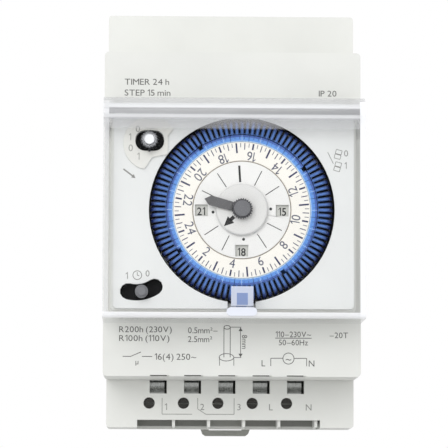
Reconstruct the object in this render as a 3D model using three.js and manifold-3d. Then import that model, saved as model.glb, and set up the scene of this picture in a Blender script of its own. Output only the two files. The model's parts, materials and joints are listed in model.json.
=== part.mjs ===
// Three-module rail-mounted time switch with a 24-hour tappet dial.
// Millimetres. X right, front faces -Y, +Z up. The origin is the centre of the rail seat.
import * as THREE from 'three';
import { mergeVertices } from 'three/addons/utils/BufferGeometryUtils.js';
import Module from 'manifold-3d';

const wasm = await Module();
wasm.setup();

// ---- driving dimensions ----
const MODULE_WIDTH = 17.5;
const WIDTH = 3 * MODULE_WIDTH;
const HALF = WIDTH / 2;
const WALL = 1.6;
const GAP = 0.3;

// ---- depth planes, back to front ----
const FEET = 5;
const BASE_FRONT = -30;
const CAP_FRONT = -44;
const NOSE_FRONT = -53.7;
const PANEL_BACK = -53.8;
const PANEL_FRONT = -55;
const COVER_FRONT = -60;
const COVER_WALL = 1.2;

// ---- heights and half widths of the tiers ----
const BASE_X = 25.7;
const BASE_Z = 43.2;
const CAP_Z = 33.3;
const NOSE_X = 24.6;
const NOSE_LOW = -20.6;
const NOSE_TOP = 19.8;
const RAIL_HALF = 17.7;

// ---- dial ----
const DIAL_X = 1.6;
const DIAL_Z = -0.45;
const TAPPETS = 96;
const TAPPET_RADIUS = 18.3;
const FACE_RADIUS = 9.75;
const DIAL_PITCH = 360 / TAPPETS;

// ---- terminals ----
const TERMINALS = [0, 1, 2, 3, 4];
const TERMINAL_PITCH = 7.14;
const TERMINAL_X = -14.93;

// ---- cover hinge ----
const HINGE_Y = -48.5;
const HINGE_Z = 20.2;

const rad = (degrees) => degrees * Math.PI / 180;

// ---- solids from three geometry ----
function solid(geometry) {
  const plain = geometry.clone();
  plain.deleteAttribute('normal');
  plain.deleteAttribute('uv');
  const merged = mergeVertices(plain, 1e-5);
  const position = merged.attributes.position;
  const index = merged.index.array;
  const triangles = [];
  let volume = 0;
  const a = new THREE.Vector3();
  const b = new THREE.Vector3();
  const c = new THREE.Vector3();
  for (let i = 0; i < index.length; i += 3) {
    const [p, q, r] = [index[i], index[i + 1], index[i + 2]];
    if (p === q || q === r || p === r) continue;
    triangles.push(p, q, r);
    a.fromBufferAttribute(position, p);
    b.fromBufferAttribute(position, q);
    c.fromBufferAttribute(position, r);
    volume += a.dot(b.cross(c));
  }
  if (volume < 0) triangles.reverse();
  return new wasm.Manifold(new wasm.Mesh({
    numProp: 3,
    vertProperties: new Float32Array(position.array),
    triVerts: new Uint32Array(triangles),
  }));
}

function box(x0, x1, y0, y1, z0, z1) {
  const geometry = new THREE.BoxGeometry(x1 - x0, y1 - y0, z1 - z0);
  geometry.translate((x0 + x1) / 2, (y0 + y1) / 2, (z0 + z1) / 2);
  return solid(geometry);
}

// A disc or shaft along Y, from y0 to y1.
function cylY(radius, y0, y1, x = DIAL_X, z = DIAL_Z, sides = 32) {
  const geometry = new THREE.CylinderGeometry(radius, radius, y1 - y0, sides);
  geometry.translate(x, (y0 + y1) / 2, z);
  return solid(geometry);
}

// A shaft along X, from x0 to x1.
function cylX(radius, x0, x1, y, z, sides = 24) {
  const geometry = new THREE.CylinderGeometry(radius, radius, x1 - x0, sides);
  geometry.rotateZ(Math.PI / 2);
  geometry.translate((x0 + x1) / 2, y, z);
  return solid(geometry);
}

// A revolved body about a Y line; the profile is a closed list of [radius, y].
function turned(profile, x = DIAL_X, z = DIAL_Z, sides = 48) {
  const points = profile.map(([r, y]) => new THREE.Vector2(r, y));
  const geometry = new THREE.LatheGeometry([...points, points[0].clone()], sides);
  geometry.translate(x, 0, z);
  return solid(geometry);
}

// An outline in X and Z, extruded along Y.
function plateY(outline, y0, y1, curveSegments = 8) {
  const shape = outline instanceof THREE.Shape ? outline : shapeOf(outline);
  const geometry = new THREE.ExtrudeGeometry(shape, { depth: y1 - y0, bevelEnabled: false, curveSegments });
  geometry.rotateX(Math.PI / 2);
  geometry.translate(0, y1, 0);
  return solid(geometry);
}

// An outline in Y and Z, extruded along X.
function plateX(outline, x0, x1) {
  const geometry = new THREE.ExtrudeGeometry(shapeOf(outline), { depth: x1 - x0, bevelEnabled: false });
  geometry.applyMatrix4(new THREE.Matrix4().makeBasis(
    new THREE.Vector3(0, 1, 0),
    new THREE.Vector3(0, 0, 1),
    new THREE.Vector3(1, 0, 0),
  ));
  geometry.translate(x0, 0, 0);
  return solid(geometry);
}

function shapeOf(points) {
  return new THREE.Shape(points.map(([u, v]) => new THREE.Vector2(u, v)));
}

// Points of an arc about (u, v), angles in degrees.
function arc(u, v, radius, from, to, steps) {
  const points = [];
  for (let i = 0; i <= steps; i += 1) {
    const angle = rad(from + (to - from) * i / steps);
    points.push([u + radius * Math.cos(angle), v + radius * Math.sin(angle)]);
  }
  return points;
}

// A rectangle with rounded corners.
function roundedRect(u0, u1, v0, v1, radius, steps = 3) {
  return [
    ...arc(u1 - radius, v1 - radius, radius, 0, 90, steps),
    ...arc(u0 + radius, v1 - radius, radius, 90, 180, steps),
    ...arc(u0 + radius, v0 + radius, radius, 180, 270, steps),
    ...arc(u1 - radius, v0 + radius, radius, 270, 360, steps),
  ];
}

// A band of constant width along an arc, with round ends.
function curvedSlot(u, v, radius, width, from, to, steps = 10) {
  const end = (angle) => [u + radius * Math.cos(rad(angle)), v + radius * Math.sin(rad(angle))];
  const [u0, v0] = end(from);
  const [u1, v1] = end(to);
  return [
    ...arc(u, v, radius + width / 2, from, to, steps),
    ...arc(u1, v1, width / 2, to, to + 180, 6).slice(1, -1),
    ...arc(u, v, radius - width / 2, to, from, steps),
    ...arc(u0, v0, width / 2, from + 180, from + 360, 6).slice(1, -1),
  ];
}

// Thin-toothed gear outline with one tooth centred at the phase angle.
function gearOutline(teeth, module, phase, x, z) {
  const pitchRadius = teeth * module / 2;
  const tip = pitchRadius + 0.75 * module;
  const root = pitchRadius - 1.15 * module;
  const pitch = 360 / teeth;
  const points = [];
  for (let i = 0; i < teeth; i += 1) {
    const middle = phase + i * pitch;
    for (const [radius, share] of [[root, -0.29], [tip, -0.09], [tip, 0.09], [root, 0.29]]) {
      const angle = rad(middle + share * pitch);
      points.push([x + radius * Math.cos(angle), z + radius * Math.sin(angle)]);
    }
  }
  return points;
}

function gear(teeth, module, phase, x, z, y0, y1) {
  return plateY(gearOutline(teeth, module, phase, x, z), y0, y1);
}

const joined = (...parts) => parts.reduce((whole, part) => whole.add(part));

const part = new THREE.Group();
part.name = 'programmable_timer';

function material(color, roughness, metalness = 0) {
  return new THREE.MeshStandardMaterial({ color, roughness, metalness });
}

const MATERIALS = {
  housing: material('#dfe0dd', 0.55),
  panel: material('#dbddda', 0.5),
  clear: material('#eef2f2', 0.1),
  latch: material('#9c9d97', 0.5),
  blue: material('#567db8', 0.45),
  white: material('#f0ece1', 0.5),
  grey: material('#717276', 0.45),
  black: material('#17171a', 0.5),
  steel: material('#b9bcbf', 0.3, 1),
  brass: material('#c8a24c', 0.35, 1),
  copper: material('#b5652f', 0.4, 1),
  board: material('#2f6b45', 0.6),
};

function add(name, body, slot) {
  const mesh = body.getMesh();
  const geometry = new THREE.BufferGeometry();
  geometry.setAttribute('position', new THREE.BufferAttribute(new Float32Array(mesh.vertProperties), 3));
  geometry.setIndex(new THREE.BufferAttribute(new Uint32Array(mesh.triVerts), 1));
  const node = new THREE.Mesh(geometry, MATERIALS[slot]);
  node.name = name;
  part.add(node);
}

// ---- housing ----
const terminalX = (k) => TERMINAL_X + TERMINAL_PITCH * k;

function baseHousing() {
  const inner = BASE_X - WALL;
  const front = BASE_FRONT + WALL;
  const bottom = -BASE_Z + WALL;
  const rise = 1.3;
  let body = plateY(roundedRect(-BASE_X, BASE_X, -BASE_Z, BASE_Z, 0.6), BASE_FRONT, FEET);
  const cuts = [
    box(-HALF, HALF, 0, FEET + 1, -RAIL_HALF, RAIL_HALF),
    plateX([
      [front, bottom], [-19.2, bottom], [-19.2, bottom + rise],
      [-WALL, bottom + rise], [-WALL, BASE_Z - WALL], [front, BASE_Z - WALL],
    ], -inner, inner),
    // the underside steps up behind the wire chambers
    box(-HALF, HALF, -18.2, FEET + 1, -BASE_Z - 1, -BASE_Z + rise),
    box(-inner, inner, BASE_FRONT - 1, BASE_FRONT + 2, -CAP_Z + 0.5, CAP_Z - 0.5),
    box(-inner, inner, -WALL - 1, FEET - WALL, RAIL_HALF + WALL, BASE_Z - WALL),
    // the latch runs in a slot through the lower foot
    box(-6, 5.6, 0.3, 3.9, -BASE_Z - 1, -RAIL_HALF + 1),
    // wire entry notch along the lower front edge
    box(-19.27, 18.75, BASE_FRONT - 1, -20, -BASE_Z - 1, -BASE_Z + WALL),
  ];
  for (const k of TERMINALS) {
    const x = terminalX(k);
    cuts.push(box(x - 1.775, x + 1.775, BASE_FRONT - 1, BASE_FRONT + 2, -36.17, -CAP_Z - 0.1));
    cuts.push(cylY(1.19, BASE_FRONT - 1, BASE_FRONT + 2, x - 1.87, -38.15, 20));
  }
  for (const cut of cuts) body = body.subtract(cut);
  // ribs between the wire chambers
  for (const x of [-11.7, -4.4, 2.9, 10.2, 17.9]) {
    body = body.add(box(x - 0.3, x + 0.3, BASE_FRONT + 1, -19.5, -BASE_Z + 0.2, -36.6));
  }
  // floor of the wire chambers
  body = body.add(box(-20.6, 20.1, -20, -18.8, -BASE_Z + 0.5, -36.6));
  // fixed hook that holds the upper edge of the rail
  body = body.add(box(-20, 20, 1.3, 3.4, RAIL_HALF - 1.3, RAIL_HALF + 0.5));
  // spring peg in the latch slot
  return body.add(box(-0.7, 0.5, 0.1, 3.9, -31.6, -30.5));
}

function capHousing() {
  let body = plateY(roundedRect(-HALF, HALF, -CAP_Z, CAP_Z, 0.8), CAP_FRONT, BASE_FRONT - GAP);
  const innerX = HALF - WALL;
  const innerZ = CAP_Z - WALL;
  body = body.subtract(box(-innerX, innerX, CAP_FRONT + WALL, BASE_FRONT + 1, -innerZ, innerZ));
  const nose = plateY(roundedRect(-NOSE_X, NOSE_X, NOSE_LOW, NOSE_TOP, 0.6), NOSE_FRONT, CAP_FRONT + 0.5);
  const lugs = [-1, 1].map((side) => {
    const from = side > 0 ? 24.4 : -HALF;
    const to = side > 0 ? HALF : -24.4;
    return joined(
      cylX(2.1, from, to, HINGE_Y, HINGE_Z),
      box(from, to, HINGE_Y, CAP_FRONT + 0.5, HINGE_Z - 2.1, HINGE_Z + 2.1),
    );
  });
  body = joined(body, nose, ...lugs);
  body = body.subtract(box(-23, 23, NOSE_FRONT - 1, CAP_FRONT + WALL + 1, -19, 18.2));
  // room for the cover's hinge ears, and the holes that its pins turn in
  for (const side of [-1, 1]) {
    const [from, to] = side > 0 ? [22.7, 24.4] : [-24.4, -22.7];
    body = body.subtract(box(from, to, NOSE_FRONT - 1, CAP_FRONT, 17.9, HINGE_Z + 3));
  }
  body = body.subtract(cylX(1.06, -HALF - 1, HALF + 1, HINGE_Y, HINGE_Z));
  // the dial turns inside the nose
  body = body.subtract(cylY(TAPPET_RADIUS + 0.35, NOSE_FRONT - 1, CAP_FRONT + 0.5, DIAL_X, DIAL_Z, 72));
  // keeper slot for the cover's catch
  body = body.subtract(box(-1.2, 4.4, NOSE_FRONT - 1, -51.5, NOSE_LOW - 1, -18));
  // screwdriver notches above the terminal windows
  for (const k of TERMINALS) {
    const x = terminalX(2) + 0.973 * (terminalX(k) - terminalX(2));
    const [x0, x1] = [x - 1.775, x + 1.775];
    body = body.subtract(box(x0, x1, CAP_FRONT - 1, CAP_FRONT + 2.4, -CAP_Z - 1, -CAP_Z + 0.25));
  }
  return body;
}

function frontPanel() {
  let body = plateY(roundedRect(-24.15, 24.15, -20.3, 19.1, 0.8), PANEL_FRONT, PANEL_BACK);
  body = body.subtract(cylY(TAPPET_RADIUS + 0.35, PANEL_FRONT - 1, PANEL_BACK + 1, DIAL_X, DIAL_Z, 72));
  body = body.subtract(box(-1.2, 4.4, PANEL_FRONT - 1, PANEL_BACK + 1, -21, -15));
  body = body.subtract(plateY(overrideHole(0), PANEL_FRONT - 1, PANEL_BACK + 1));
  return body.subtract(plateY(modeSlot(0), PANEL_FRONT - 1, PANEL_BACK + 1));
}

// Oval opening around the override knob.
function overrideHole(grow) {
  return roundedRect(-19.8 - grow, -14.06 + grow, 11.36 - grow, 15.49 + grow, 1.9 + grow, 5);
}

const MODE_PIVOT = [-19.5, -10.5];
const MODE_RADIUS = 6.6;
const MODE_ANGLE = 279.5;

// Curved opening that the mode knob travels in.
function modeSlot(grow) {
  return curvedSlot(...MODE_PIVOT, MODE_RADIUS, 3.3 + 2 * grow, 256, 304);
}

const COVER_LOW = -22.5;
const COVER_TOP = 22.1;
const CATCH_X = [-0.55, 3.75];

function clearCover() {
  const x = 26.2;
  const fillet = 4;
  const side = [
    [HINGE_Y, COVER_TOP],
    ...arc(COVER_FRONT + fillet, COVER_TOP - fillet, fillet, 90, 180, 6),
    ...arc(COVER_FRONT + 0.8, COVER_LOW + 0.8, 0.8, 180, 270, 3),
    [CAP_FRONT - GAP, COVER_LOW],
    [CAP_FRONT - GAP, HINGE_Z - 2.6],
    [HINGE_Y, HINGE_Z - 2.6],
  ];
  let body = plateX(side, -x, x);
  const innerFillet = fillet - COVER_WALL;
  const hollow = [
    [HINGE_Y + 9, COVER_TOP - COVER_WALL],
    ...arc(COVER_FRONT + fillet, COVER_TOP - fillet, innerFillet, 90, 180, 6),
    [COVER_FRONT + COVER_WALL, COVER_LOW + COVER_WALL],
    [HINGE_Y + 9, COVER_LOW + COVER_WALL],
  ];
  body = body.subtract(plateX(hollow, -x + COVER_WALL, x - COVER_WALL));
  for (const s of [-1, 1]) {
    // the walls stand clear of the hinge lugs through the whole swing
    const [cut0, cut1] = s > 0 ? [24.3, x + 1] : [-x - 1, -24.3];
    body = body.subtract(box(cut0, cut1, HINGE_Y - 2.8, HINGE_Y + 10, HINGE_Z - 2.6, COVER_TOP + 1));
    const [ear0, ear1] = s > 0 ? [22.9, 24.1] : [-24.1, -22.9];
    const [pin0, pin1] = s > 0 ? [23.5, 25.9] : [-25.9, -23.5];
    body = joined(
      body,
      cylX(1.9, ear0, ear1, HINGE_Y, HINGE_Z),
      box(ear0, ear1, HINGE_Y - 1.9, HINGE_Y, HINGE_Z, COVER_TOP - 0.4),
      cylX(1, pin0, pin1, HINGE_Y, HINGE_Z),
    );
  }
  return joined(body, coverCatch());
}

// Hollow window, tongue and finger lip at the middle of the lower edge.
function coverCatch() {
  const [x0, x1] = CATCH_X;
  const inside = COVER_FRONT + COVER_WALL - 0.2;
  const frame = box(x0, x1, inside, -56.3, -20.2, -16.4)
    .subtract(box(x0 + 0.7, x1 - 0.7, inside - 1, -56, -19.3, -17.2));
  const tongue = box(x0, x1, -56.8, -52.5, -20.1, -19.35);
  const pill = roundedRect(x0 - 1, x1 + 0.8, -22.1, -20.4, 0.84);
  const lip = plateY(pill, COVER_FRONT - 0.35, COVER_FRONT + 1);
  return joined(frame, tongue, lip);
}

function railLatch() {
  const bar = box(-5.7, 5.3, 0.6, 3.6, -42.2, -RAIL_HALF);
  const hook = plateX([[1.3, -18.2], [3.6, -18.2], [3.6, -16.6], [2.9, -16.2], [1.3, -16.2]], -5.7, 5.3);
  const lip = plateY([
    [-5.8, -41.8], [-5.2, -43.5], [-4.6, -43.95], [4.2, -43.95], [4.8, -43.5], [5.4, -41.8],
  ], 0.6, 3.6);
  return joined(bar, hook, lip)
    .subtract(box(-1.7, 1.5, 0, 4, -34.8, -24))
    .subtract(box(-3.8, 3.4, 0, 4, -42.75, -42.4));
}

// Compression spring between the latch and the base's peg.
function latchSpring() {
  const turns = 5;
  const points = [];
  for (let i = 0; i <= turns * 10; i += 1) {
    const angle = rad(36 * i);
    points.push(new THREE.Vector3(
      -0.1 + 1.05 * Math.cos(angle),
      2.1 + 1.05 * Math.sin(angle),
      -30.2 + 5.9 * i / (turns * 10),
    ));
  }
  const wire = new THREE.Shape(arc(0, 0, 0.2, 0, 300, 5).map(([u, v]) => new THREE.Vector2(u, v)));
  return solid(new THREE.ExtrudeGeometry(wire, {
    steps: turns * 12,
    bevelEnabled: false,
    extrudePath: new THREE.CatmullRomCurve3(points),
  }));
}

add('base_housing', baseHousing(), 'housing');
add('cap_housing', capHousing(), 'housing');
add('front_panel', frontPanel(), 'panel');
add('clear_cover', clearCover(), 'clear');
add('rail_latch', railLatch(), 'latch');
add('rail_latch_spring', latchSpring(), 'steel');

// ---- front controls ----
const KNOB = [-17, 13.4];

function indicatorPlate() {
  const outline = [
    [-13.28, 14.42],
    [-12.2, 15.8],
    ...arc(-16.74, 12.9, 5.5, 36, 247, 20),
    [-17.96, 7.71],
    [-16.47, 10.04],
    [-13.28, 10.67],
  ];
  return plateY(outline, PANEL_FRONT - 0.45, PANEL_FRONT - 0.03)
    .subtract(plateY(overrideHole(0), PANEL_FRONT - 1, PANEL_FRONT + 1));
}

// Knurled disc outline with a shallow groove between neighbouring ridges.
function knurl(radius, ridges, depth, x, z) {
  const points = [];
  for (let i = 0; i < 2 * ridges; i += 1) {
    const r = i % 2 ? radius - depth : radius;
    const angle = rad(180 * i / ridges);
    points.push([x + r * Math.cos(angle), z + r * Math.sin(angle)]);
  }
  return points;
}

function overrideKnob() {
  const [x, z] = KNOB;
  const head = plateY(knurl(1.9, 16, 0.32, x, z), -57.6, -55.9);
  const hub = cylY(1.1, -58.1, -57.4, x, z, 24);
  const shaft = cylY(0.8, -56, -51.2, x, z, 16);
  const pointer = plateY([
    [x - 0.25, z - 1], [x + 0.25, z - 1], [x + 0.2, z - 2.4], [x - 0.2, z - 2.4],
  ], -57.2, -56.4);
  return joined(head, hub, shaft, pointer);
}

// Ratchet wheel behind the panel on the override shaft.
function ratchetWheel() {
  const [x, z] = KNOB;
  const points = [];
  const teeth = 12;
  for (let i = 0; i < teeth; i += 1) {
    const start = rad(360 * i / teeth);
    points.push([x + 3 * Math.cos(start), z + 3 * Math.sin(start)]);
    points.push([x + 3.5 * Math.cos(start + 0.06), z + 3.5 * Math.sin(start + 0.06)]);
  }
  return plateY(points, -53.5, -52.6).subtract(cylY(0.82, -54, -52, x, z, 16));
}

function modeLever() {
  const [x, z] = MODE_PIVOT;
  const hub = cylY(1.7, -53.5, -51.2, x, z, 24);
  const arm = box(0, 7.8, -53.5, -52.7, -0.8, 0.8).rotate(0, -MODE_ANGLE, 0).translate(x, 0, z);
  return joined(hub, arm);
}

function modeKnob() {
  const x = MODE_PIVOT[0] + MODE_RADIUS * Math.cos(rad(MODE_ANGLE));
  const z = MODE_PIVOT[1] + MODE_RADIUS * Math.sin(rad(MODE_ANGLE));
  return joined(
    cylY(1.3, -57, -55.3, x, z, 24),
    cylY(0.95, -57.4, -56.9, x, z, 24),
    cylY(0.7, -55.4, -53.55, x, z, 16),
  );
}

function slotBacking() {
  return plateY(modeSlot(0.1), -52.4, -51.6);
}

// ---- dial ----
const BAND_FRONT = -55.2;
const TAPPET_FRONT = -55.8;
const TAPPET_BACK = -51.6;
const CHAMFER_RADIUS = 17.5;
const SCALE_RADIUS = 13.75;
const BAND_RADIUS = 15.15;
const BLADE_ROOT = 15.4;
const HINGED = [9, 33, 57, 81];

const dialPoint = (radius, angle) => [
  DIAL_X + radius * Math.cos(rad(angle)),
  DIAL_Z + radius * Math.sin(rad(angle)),
];

// A radial bar of constant width on the dial, from r0 to r1.
function radialBar(r0, r1, width, angle, y0, y1) {
  const bar = box(r0, r1, y0, y1, -width / 2, width / 2);
  return bar.rotate(0, -angle, 0).translate(DIAL_X, 0, DIAL_Z);
}

function programRing() {
  const seat = SCALE_RADIUS + 0.07;
  const ring = turned([
    [2.65, -53.8], [13.1, -53.8], [13.1, -54.35], [seat, -54.35], [seat, BAND_FRONT],
    [BAND_RADIUS, BAND_FRONT], [BAND_RADIUS, -51.2], [13.2, -51.2], [13.2, -53],
    [3.8, -53], [3.8, -51], [2.65, -51],
  ], DIAL_X, DIAL_Z, 96);
  return HINGED.reduce((body, k) => body.subtract(flipSlot(k * DIAL_PITCH)), ring);
}

// Sloping notch that a hinged tappet leans into; its floor follows the leaning blade.
function flipSlot(angle) {
  const width = 0.95;
  const profile = new THREE.Shape([
    [14.2, -56], [16, -56], [16, -51.7], [15.45, -51.7], [14.2, -55.1],
  ].map(([r, y]) => new THREE.Vector2(r, y)));
  const wedge = new THREE.ExtrudeGeometry(profile, { depth: width, bevelEnabled: false });
  wedge.translate(0, 0, -width / 2);
  return solid(wedge).rotate(0, -angle, 0).translate(DIAL_X, 0, DIAL_Z);
}

function tappetRing() {
  const halfWidth = 0.34;
  const corners = [
    [BLADE_ROOT, -halfWidth], [TAPPET_RADIUS, -halfWidth],
    [TAPPET_RADIUS, halfWidth], [BLADE_ROOT, halfWidth],
  ];
  const outline = [];
  for (let i = 0; i < TAPPETS; i += 1) {
    const middle = i * DIAL_PITCH;
    const missing = HINGED.includes(i);
    for (const [radius, side] of corners) {
      if (missing && radius > BLADE_ROOT) continue;
      const angle = middle + side / radius * 180 / Math.PI;
      outline.push(dialPoint(radius, angle));
    }
  }
  const blades = plateY(outline, TAPPET_FRONT, TAPPET_BACK);
  // facets centred on the blades, so each blade gets one flat chamfer
  const limit = turned([
    [0, -57], [CHAMFER_RADIUS, -57], [CHAMFER_RADIUS, TAPPET_FRONT], [TAPPET_RADIUS, -54.6],
    [TAPPET_RADIUS, -51], [0, -51],
  ], 0, 0, TAPPETS).rotate(0, DIAL_PITCH / 2, 0).translate(DIAL_X, 0, DIAL_Z);
  const inner = BLADE_ROOT - 0.15;
  const bore = cylY(inner, -57, -50, DIAL_X, DIAL_Z, 64);
  let body = blades.intersect(limit).subtract(bore);
  // the carrier that the blades stand on
  const outer = TAPPET_RADIUS - 0.3;
  const carrier = [[inner, -52.1], [outer, -52.1], [outer, -51.2], [inner, -51.2]];
  body = body.add(turned(carrier, DIAL_X, DIAL_Z, 64));
  for (const k of HINGED) {
    body = body.subtract(radialBar(15, 18.9, 1.1, k * DIAL_PITCH, -57, -51.7));
  }
  return body;
}

function hingedTappet(k) {
  const angle = k * DIAL_PITCH;
  const bar = radialBar(BLADE_ROOT + 0.05, CHAMFER_RADIUS + 0.2, 0.66, angle, TAPPET_FRONT, -52.3);
  const outer = radialBar(CHAMFER_RADIUS, TAPPET_RADIUS - 0.1, 0.66, angle, -54.6, -52.3);
  return joined(bar, outer);
}

function scaleRing() {
  return turned([
    [9.95, -55.25], [SCALE_RADIUS, -55.25], [SCALE_RADIUS, -54.4], [9.95, -54.4],
  ], DIAL_X, DIAL_Z, 96);
}

const RING_TEETH = 64;
const RING_MODULE = 20 / 72;
const MOTION_ANGLE = 225;
const MOTION = dialPoint(10, MOTION_ANGLE);

// Phase of a follower gear that leaves a gap facing its partner.
const facing = (angle, teeth) => angle + 180 + 180 / teeth;

function ringGear() {
  return gear(RING_TEETH, RING_MODULE, facing(MOTION_ANGLE + 180, RING_TEETH), DIAL_X, DIAL_Z, -52.4, -51.5)
    .subtract(cylY(3.82, -53, -51, DIAL_X, DIAL_Z, 32));
}

// centre distance of the hour windows, and how far below the dial's centre line they sit
const WINDOW_RADIUS = 8.1;
const WINDOW_DROP = 0.12;

function clockFace() {
  let body = turned([
    [2.7, -55.3], [FACE_RADIUS, -55.3], [FACE_RADIUS, -54.75], [2.7, -54.75],
  ], DIAL_X, DIAL_Z, 64);
  for (const angle of [0, 180, 270]) {
    const [x, z] = dialPoint(WINDOW_RADIUS, angle);
    const middle = z - WINDOW_DROP;
    body = body.subtract(box(x - 1.28, x + 1.28, -56, -54, middle - 1.17, middle + 1.17));
  }
  return body;
}

function numberDisc() {
  return turned([
    [2.7, -54.6], [9.7, -54.6], [9.7, -54.1], [2.7, -54.1],
  ], DIAL_X, DIAL_Z, 48);
}

function centreTube() {
  return turned([
    [2.1, -55.3], [2.6, -55.3], [2.6, -50.7], [2.1, -50.7],
  ], DIAL_X, DIAL_Z, 32);
}

function hourDisc() {
  const disc = turned([
    [1.5, -56.5], [4.95, -56.5], [5.2, -56.2], [5.2, -55.5], [1.95, -55.5], [1.95, -49.2], [1.5, -49.2],
  ], DIAL_X, DIAL_Z, 48);
  return disc;
}

function hourWheel() {
  return gear(40, 0.4, facing(MOTION_ANGLE + 180, 40), DIAL_X, DIAL_Z, -49.3, -48.5)
    .subtract(cylY(1.97, -50, -48, DIAL_X, DIAL_Z, 24));
}

function minuteArbor() {
  return joined(cylY(1.3, -56.7, -44, DIAL_X, DIAL_Z, 24), cylY(0.8, -44.1, -42.2, DIAL_X, DIAL_Z, 16));
}

const MINUTE_ANGLE = 165;

function minuteHand() {
  const disc = plateY(arc(DIAL_X, DIAL_Z, 1.9, 0, 345, 23), -57.2, -56.8);
  const blade = plateY([
    [0, -0.85], [6.6, -1], [7.8, 0], [6.6, 1], [0, 0.85],
  ], -57.2, -56.8).rotate(0, -MINUTE_ANGLE, 0).translate(DIAL_X, 0, DIAL_Z);
  return joined(disc, blade);
}

function settingKnob() {
  const head = plateY(knurl(2.15, 26, 0.3, DIAL_X, DIAL_Z), -57.95, -57.25);
  const cap = cylY(1.62, -58.35, -57.9, DIAL_X, DIAL_Z, 32);
  return joined(head, cap);
}

add('indicator_plate', indicatorPlate(), 'white');
add('override_knob', overrideKnob(), 'white');
add('ratchet_wheel', ratchetWheel(), 'black');
add('mode_lever', modeLever(), 'black');
add('mode_knob', modeKnob(), 'grey');
add('slot_backing', slotBacking(), 'black');
add('program_ring', programRing(), 'blue');
add('ring_gear', ringGear(), 'white');
add('tappet_ring', tappetRing(), 'blue');
HINGED.forEach((k, i) => add(`tappet_${i + 1}`, hingedTappet(k), 'blue'));
add('scale_ring', scaleRing(), 'white');
add('number_disc', numberDisc(), 'white');
add('clock_face', clockFace(), 'white');
add('centre_tube', centreTube(), 'white');
add('hour_disc', hourDisc(), 'white');
add('hour_wheel', hourWheel(), 'white');
add('minute_arbor', minuteArbor(), 'steel');
add('minute_hand', minuteHand(), 'grey');
add('setting_knob', settingKnob(), 'grey');

// ---- movement ----
const THIRD_ANGLE = 150;
const THIRD_TEETH = 60;
const THIRD = dialPoint(14.4, THIRD_ANGLE);
const ROTOR_ANGLE = 225;
const ROTOR = [THIRD[0] + 10.2 * Math.cos(rad(ROTOR_ANGLE)), THIRD[1] + 10.2 * Math.sin(rad(ROTOR_ANGLE))];
const PLATE_FRONT = -50.6;
const PLATE_BACK = -49.8;
const REAR_FRONT = -42.9;
const REAR_BACK = -42.1;
const PILLARS = [[-20.6, 15.6], [20.6, 15.6], [-20.6, -16.4], [6, -16.4]];
const FEELER = [21, -11.5];

function minutePinion() {
  const wheel = gear(10, 0.5, MOTION_ANGLE, DIAL_X, DIAL_Z, -48, -47);
  return wheel.subtract(cylY(1.32, -49, -46, DIAL_X, DIAL_Z, 24));
}

function motionWheel() {
  const [x, z] = MOTION;
  return joined(
    gear(30, 0.5, facing(MOTION_ANGLE, 30), x, z, -47.9, -47.1),
    gear(10, 0.4, MOTION_ANGLE + 180, x, z, -49.4, -48.4),
    gear(8, RING_MODULE, MOTION_ANGLE + 180, x, z, -52.5, -51.4),
    cylY(0.65, -51.5, -46.6, x, z, 16),
    cylY(1.2, -48.5, -46.8, x, z, 16),
  );
}

function driveWheel() {
  return gear(64, 0.4, facing(THIRD_ANGLE + 180, 64), DIAL_X, DIAL_Z, -45.9, -45.1)
    .subtract(cylY(1.35, -46.5, -44.5, DIAL_X, DIAL_Z, 24));
}

// Three-armed dished spring of the friction clutch.
function clutchSpring() {
  let body = turned([[1.35, -46.6], [2.6, -46.6], [2.6, -46.3], [1.35, -46.3]], DIAL_X, DIAL_Z, 24);
  for (const angle of [0, 120, 240]) body = body.add(radialBar(2.4, 6, 1.2, angle, -46.5, -46.2));
  return body;
}

function thirdWheel() {
  const [x, z] = THIRD;
  return joined(
    gear(THIRD_TEETH, 0.3, facing(ROTOR_ANGLE + 180, THIRD_TEETH), x, z, -44.6, -43.8),
    gear(8, 0.4, THIRD_ANGLE + 180, x, z, -46, -44.5),
    cylY(0.6, -49.9, -42.3, x, z, 16),
  );
}

function rotor() {
  const [x, z] = ROTOR;
  return joined(
    gear(8, 0.3, ROTOR_ANGLE + 180, x, z, -44.7, -43.7),
    cylY(0.5, -45.5, -36.5, x, z, 16),
    cylY(3.6, -41.2, -37.4, x, z, 24),
  );
}

function movementPlate(front, back, bores) {
  let body = plateY(roundedRect(-22.4, 22.4, -18.4, 17.6, 1.5), front, back);
  body = body.subtract(box(16.5, 23, front - 1, back + 1, -19, -9.5));
  for (const [radius, x, z] of bores) body = body.subtract(cylY(radius, front - 1, back + 1, x, z, 20));
  return body;
}

function pillar([x, z]) {
  return joined(cylY(1.5, PLATE_BACK + 0.05, REAR_FRONT - 0.05, x, z, 16));
}

function stator() {
  const [x, z] = ROTOR;
  const core = plateY(roundedRect(x - 4.9, 14, z - 5.5, z + 5.5, 1), -39.7, -38.1)
    .subtract(cylY(4, -42, -37, x, z, 24))
    .subtract(box(-8.5, 11, -42, -37, z - 3.2, z + 3.2));
  return core.add(box(-8.6, 11.1, -39.7, -38.1, z - 1.4, z + 1.4));
}

function coilBobbin() {
  const z = ROTOR[1];
  const y = -38.9;
  const flange = (x) => box(x, x + 0.8, y - 3, y + 3, z - 3, z + 3);
  return joined(flange(-8), flange(9.7), box(-8, 10.5, y - 1.4, y + 1.4, z - 1.9, z + 1.9))
    .subtract(box(-9, 12, y - 1.0, y + 1.0, z - 1.5, z + 1.5));
}

function coilWinding() {
  const z = ROTOR[1];
  const y = -38.9;
  return box(-7.1, 9.6, y - 2.7, y + 2.7, z - 2.8, z + 2.8)
    .subtract(box(-9, 12, y - 1.45, y + 1.45, z - 1.95, z + 1.95));
}

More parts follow.
